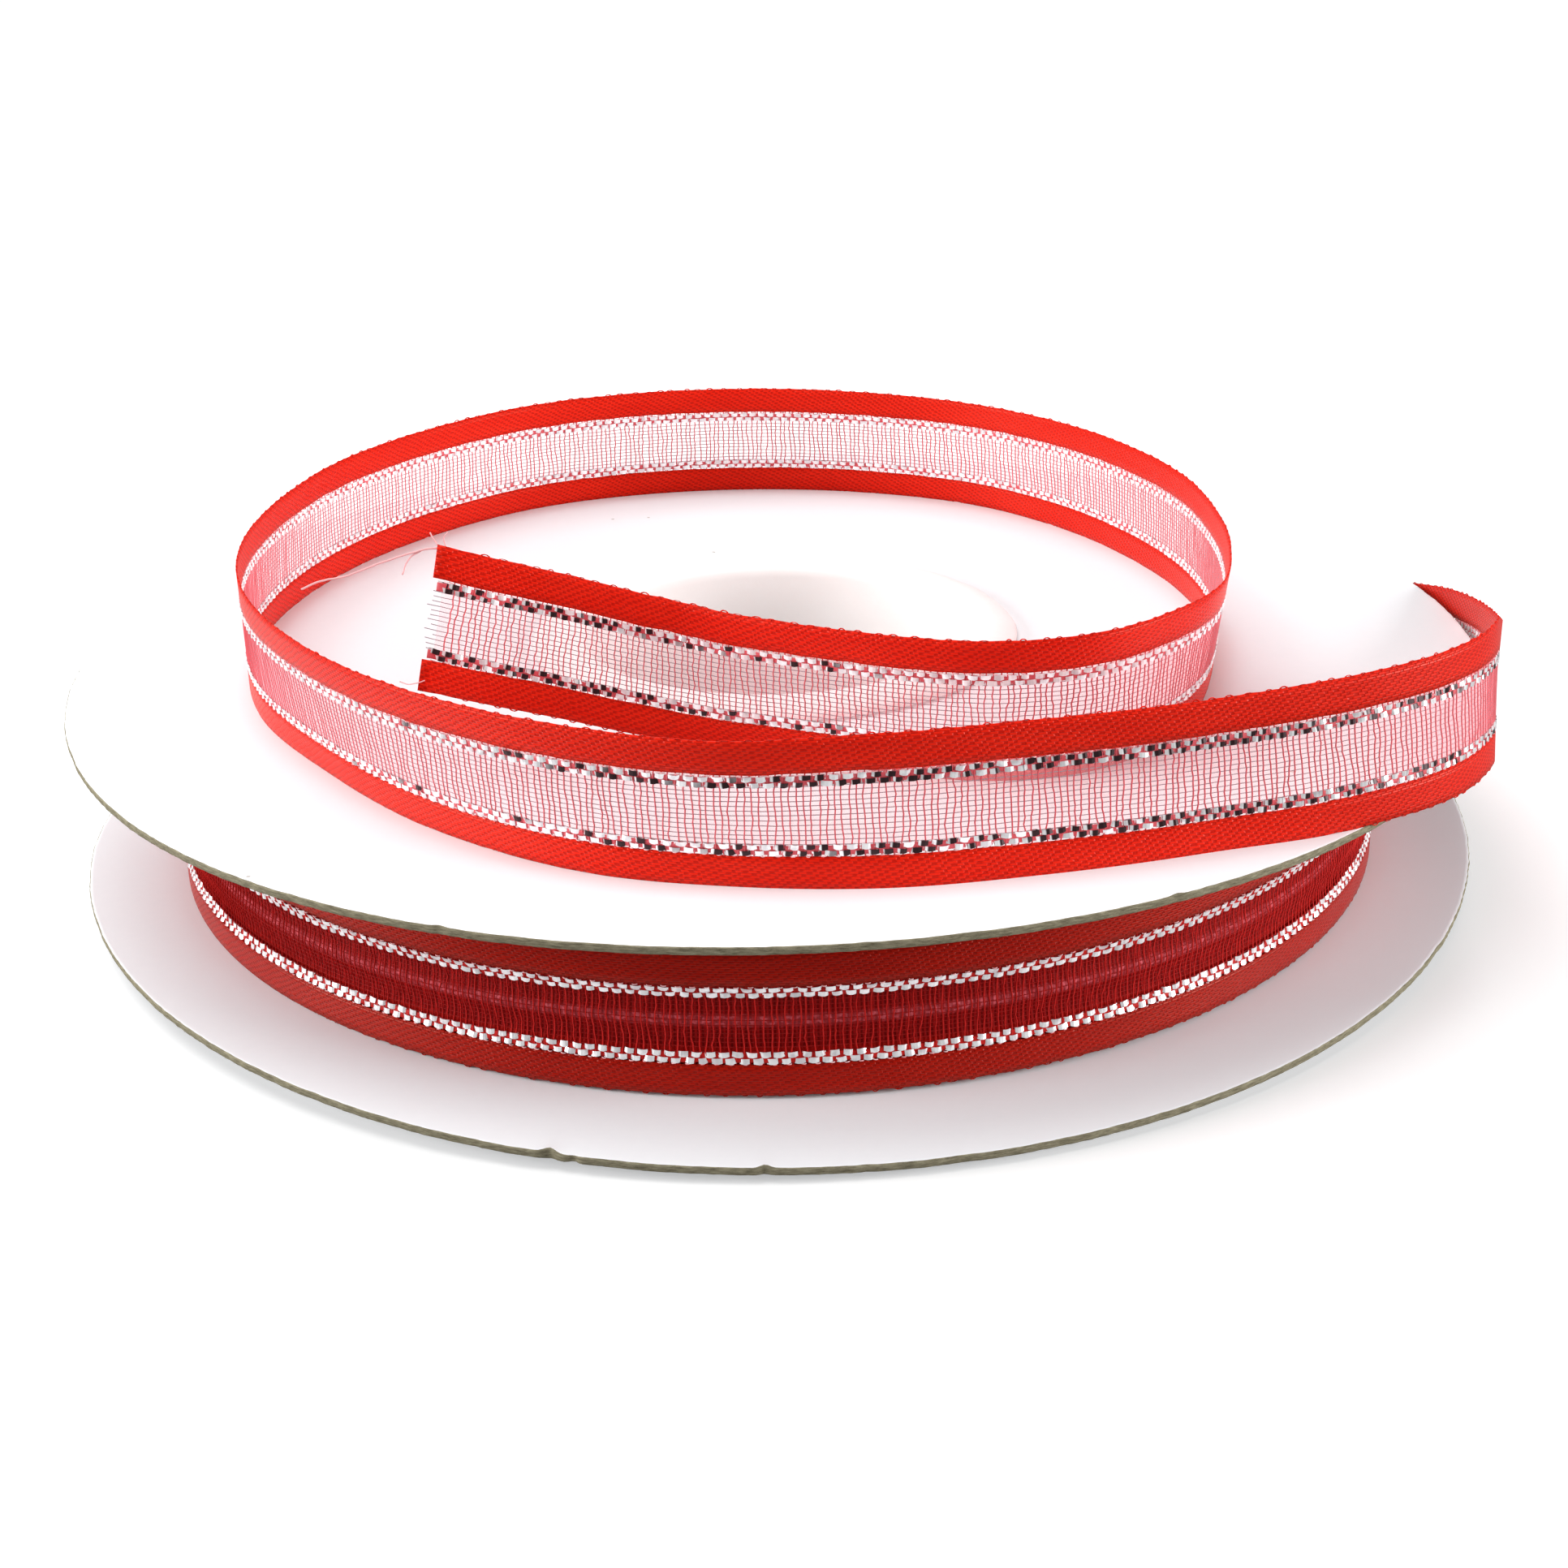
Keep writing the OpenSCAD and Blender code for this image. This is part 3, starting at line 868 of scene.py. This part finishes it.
# The strips' grey-to-white tone from place to place is painted reflection.
reflection_tone = speckle(tree, flat, 1500.0, 1.0)
reflection_tone = ramped(tree, reflection_tone, 0.38, 0.56)
tone = mixed(tree, reflection_tone, (0.74, 0.72, 0.74, 1), (0.96, 0.96, 0.97, 1))
tint = mixed(tree, dark, tone, (0.030, 0.012, 0.014, 1))
dress(tree, shader, tint)
# The foil glows faintly in its own colour: painted light.
tree.links.new(tint, shader.inputs["Emission Color"])
shader.inputs["Emission Strength"].default_value = 0.10


def path_object(name, feet, tops):
    """A line for the ribbon's foot, which carries the direction up the ribbon, and its length."""
    mesh = bpy.data.meshes.new(name)
    mesh.from_pydata(feet, [(i, i + 1) for i in range(len(feet) - 1)], [])
    rise = mesh.attributes.new("rise", "FLOAT_VECTOR", "POINT")
    for i, (foot, top) in enumerate(zip(feet, tops)):
        rise.data[i].vector = (top - foot).normalized()
    made = bpy.data.objects.new(name, mesh)
    scene.collection.objects.link(made)
    return made, sum((b - a).length for a, b in zip(feet, feet[1:]))


def as_one(pieces):
    """Joins objects into the first of them."""
    with bpy.context.temp_override(
        active_object=pieces[0], selected_editable_objects=pieces, selected_objects=pieces,
    ):
        bpy.ops.object.join()
    return pieces[0]


def woven(name, path, end, hollow, seed, weft, warp, satin, bright, free):
    """Satin, sheer and selvedges of one length of ribbon as one piece, and its silver as another.

    A free length has silver on its inner side too, a pink film of stray fibres and painted glow in its sheer,
    and a fringe at its cut.
    """
    fringe = 0.0007 if free else 0.0
    bed = 0.0003
    lie = {"Path": path, "Hollow": hollow}
    cloth = [
        grow(name, band_tree, **lie, To=end, Low=satin_low[0], High=satin_low[1],
             Seed=seed, Finish=satin),
        grow("top", band_tree, **lie, To=end, Low=satin_high[0], High=satin_high[1],
             Seed=seed + 3, Finish=satin),
        grow("weft", weft_tree, **lie, To=end - fringe, Low=sheer[0], High=sheer[1],
             Seed=seed + 5, Finish=weft),
        grow("warp", warp_tree, **lie, To=end, Seed=seed + 7, Finish=warp),
        grow("loops", loop_tree, **lie, From=0.001, To=end - 0.001, Finish=satin),
    ]
    for i, middle in enumerate((silver_low, silver_high)):
        cloth.append(grow(
            "bed", band_tree, **lie, To=end - bed, Low=middle - bed, High=middle + bed,
            Thick=0.00003, Seed=seed + i, Finish=weft,
        ))
    if free:
        cloth.append(grow(
            "fibres", band_tree, **lie, To=end - fringe, Low=0.0023, High=0.0077,
            Thick=0.00002, Seed=seed + 3, Finish=sheer_haze,
        ))
    lie["To"] = end - 0.0002
    seed = int(seed)
    foil = [
        grow(name + "_silver", foil_tree, **lie, From=0.0005, Middle=silver_low, Bright=bright,
             Seed=seed, Finish=silver),
        grow("high", foil_tree, **lie, From=0.0007, Middle=silver_high, Bright=bright,
             Seed=seed + 1, Finish=silver),
        grow("ties", foil_tree, **lie, From=0.0003, Middle=0.00495, Apart=0.00544, Pitch=0.00091,
             Long=0.00034, Wide=0.00007, Tilt=0.05, Round=0.0, Bright=0.5, Seed=seed + 2, Finish=edge_pink),
    ]
    if free:
        for i, middle in enumerate((silver_low, silver_high)):
            foil.append(grow(
                "inner", foil_tree, **lie, From=0.0006, Middle=middle, Bright=0.45, Side=-1.0,
                Seed=seed + 6 + i, Finish=silver,
            ))
    cloth, foil = as_one(cloth), as_one(foil)
    cloth.data.shade_smooth()
    foil.data.shade_flat()
    return cloth, foil


# ---------------------------------------------------------------------------
# Outermost turn of the roll. The same ribbon, tight round the turns below it,
# so that its sheer middle follows them down into the channel.
exit_angle = 56
feet, tops = [], []
for degree in range(361):
    turn = math.radians(exit_angle + 360 - degree)
    r = roll_out - 0.00022 + 0.00014 * (degree / 360)
    feet.append(Vector((r * math.cos(turn), r * math.sin(turn), roll_foot)))
    tops.append(feet[-1] + Vector((0, 0, ribbon_width)))
path, path_length = path_object("outer_path", feet, tops)
# It wears the darker copies of the ribbon's finishes: painted shade of the roll under the upper disc.
outer, outer_foil = woven(
    "ribbon_outer_turn", path, path_length, 0.00036, 1.0, weft_shaded, warp_shaded, satin_shaded, 1.0, free=False,
)
bpy.data.objects.remove(path)
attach(outer, "core")
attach(outer_foil, "core")

# ---------------------------------------------------------------------------
# Free tail. It leaves the roll at the back right, bulges out past the upper
# disc, goes once round on top of it and crosses the front, its cut end lifting.
mm = 1000
disc_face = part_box("upper_disc")[1].z * mm
rest = disc_face + 0.10
# Stations: the angle in degrees, then foot radius, top radius and foot height in mm.
tail_stations = [
    (56, 47.16, 47.16, 1.9), (53, 47.18, 47.18, 1.9), (50, 47.25, 47.25, 1.9), (44, 47.9, 47.8, 1.9),
    (35, 49.3, 49.2, 1.9), (27, 51.3, 51.1, 2.5), (20, 53.4, 53.2, 3.6), (14, 54.85, 54.8, 4.8),
    (10, 54.9, 54.9, 5.8), (5, 54.9, 54.9, 7.0), (-1, 54.9, 54.9, 8.2), (-7, 54.9, 54.9, 9.3),
    (-13, 54.9, 54.9, 10.5), (-19, 54.95, 54.95, 12.1), (-24, 55.3, 55.1, 13.8),
    (-28, 56.1, 55.5, 15.2), (-31, 56.7, 55.9, 15.9), (-34, 56.9, 56.0, 16.1), (-37, 56.8, 55.6, 16.15),
    (-40, 56.3, 54.9, 16.15), (-45, 54.9, 53.4, 16.15), (-50, 53.3, 51.7, 16.1),
    (-58, 50.5, 49.5, rest), (-70, 48.2, 47.2, rest), (-82, 47.1, 46.6, rest), (-94, 45.9, 46.9, rest),
    (-105, 45.0, 45.7, rest), (-122, 42.5, 43.6, rest), (-140, 40.5, 41.9, rest),
    (-158, 40.7, 41.1, rest), (-176, 41.0, 40.5, rest), (-192, 41.4, 40.5, rest),
    (-208, 42.0, 41.4, rest), (-224, 42.9, 42.3, rest), (-240, 43.8, 43.3, rest),
    (-255, 43.3, 42.8, rest), (-270, 42.4, 41.7, rest), (-284, 41.4, 40.3, rest),
    (-298, 40.2, 38.9, rest), (-314, 37.8, 36.9, rest), (-330, 35.8, 35.3, rest),
    (-346, 34.8, 34.5, rest), (-362, 34.4, 34.3, rest), (-378, 34.5, 35.4, rest),
    (-392, 35.5, 37.0, rest), (-404, 36.4, 37.0, rest), (-414, 36.0, 36.3, rest),
    (-424, 33.8, 34.0, rest), (-433, 30.4, 30.7, rest), (-441, 27.3, 27.8, rest),
    (-449, 25.3, 25.5, rest), (-457, 24.4, 23.9, 16.05), (-466, 24.4, 23.0, 16.5),
    (-475, 25.7, 23.8, 17.4), (-483, 28.0, 25.5, 18.6), (-489, 30.9, 27.5, 19.8),
    (-494, 35.6, 31.4, 21.8),
]


def smooth(a, b, c, d, u):
    """A smooth curve through four stations, at share u of the way from b to c."""
    return 0.5 * (
        2 * b + (c - a) * u + (2 * a - 5 * b + 4 * c - d) * u * u + (3 * b - a - 3 * c + d) * u ** 3
    )


station_steps = 12
feet, tops = [], []
last = len(tail_stations) - 1
for i in range(last):
    four = [tail_stations[min(max(k, 0), last)] for k in (i - 1, i, i + 1, i + 2)]
    for k in range(station_steps):
        angle, foot_r, top_r, foot_z = (smooth(*(s[n] for s in four), k / station_steps) for n in range(4))
        turn = Vector((math.cos(math.radians(angle)), math.sin(math.radians(angle)), 0))
        rise = math.sqrt((ribbon_width * mm) ** 2 - (top_r - foot_r) ** 2)
        feet.append((turn * foot_r + Vector((0, 0, foot_z))) / mm)
        tops.append((turn * top_r + Vector((0, 0, foot_z + rise))) / mm)
# A little path to spare keeps the cloth's end off the end of the curve.
spare = 0.002
onward = (feet[-1] - feet[-2]).normalized() * spare
feet.append(feet[-1] + onward)
tops.append(tops[-1] + onward)
# The cut is not quite square: the top corner runs on a little past the foot.
skew, skewed = 0.0013, 24
for back in range(skewed + 1):
    run = (feet[-1 - back] - feet[-2 - back]).normalized()
    tops[-1 - back] += run * skew * (1 - back / skewed) ** 2
path, path_length = path_object("tail_path", feet, tops)
tail_length = path_length - spare
tail, tail_foil = woven(
    "ribbon_tail_loop", path, tail_length, 0.0, 11.0, weft_red, warp_grey, satin_red, 0.0, free=True,
)
bpy.data.objects.remove(path)

# Fray at the cut: one long thread that has come loose with a branch, and three short ends.
# Each is its radius and the places it goes through, in mm.
loose = [
    (0.075, [(-22.6, -22.7, 30.9), (-23.9, -22.6, 30.7), (-26.4, -22.7, 30.0), (-28.9, -23.1, 29.2),
             (-30.8, -23.3, 28.9), (-32.1, -23.4, 28.4)]),
    (0.06, [(-23.7, -22.4, 30.7), (-24.7, -22.7, 30.2), (-25.2, -23.2, 29.2)]),
    (0.05, [(-22.6, -22.7, 30.8), (-22.9, -22.5, 31.4), (-23.2, -22.4, 31.9)]),
    (0.04, [(-22.2, -22.6, 30.9), (-22.3, -22.4, 31.4), (-22.0, -22.3, 31.9)]),
    (0.04, [(-23.9, -25.6, 22.4), (-24.9, -25.8, 22.2), (-25.5, -26.1, 22.5)]),
]
sides, place_steps = 5, 6
noise.seed_set(1)  # the wriggle is the same each run
points, faces = [], []
for thick, stops in loose:
    line = []
    last = len(stops) - 1
    for i in range(last):
        four = [Vector(stops[min(max(k, 0), last)]) for k in (i - 1, i, i + 1, i + 2)]
        line += [smooth(*four, k / place_steps) for k in range(place_steps)]
    line.append(Vector(stops[-1]))
    first = len(points)
    for i, spot in enumerate(line):
        ahead = (line[min(i + 1, len(line) - 1)] - line[max(i - 1, 0)]).normalized()
        side = ahead.cross(Vector((0, 0, 1))).normalized()
        over_it = ahead.cross(side)
        wriggle = 0.06 * noise.noise_vector(spot * 1.7)
        for k in range(sides):
            turn = 2 * math.pi * k / sides
            round_it = thick * (math.cos(turn) * side + math.sin(turn) * over_it)
            points.append((spot + wriggle + round_it) / mm)
    for i in range(len(line) - 1):
        for k in range(sides):
            a, b = first + sides * i + k, first + sides * i + (k + 1) % sides
            faces.append((a, b, b + sides, a + sides))
    faces.append([first + k for k in reversed(range(sides))])
    faces.append([first + sides * (len(line) - 1) + k for k in range(sides)])
fray = mesh_object("tail_loose_threads", points, faces, [edge_pink])
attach(fray, "core")
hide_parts("ribbon_tail")
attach(tail, "core")
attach(tail_foil, "core")
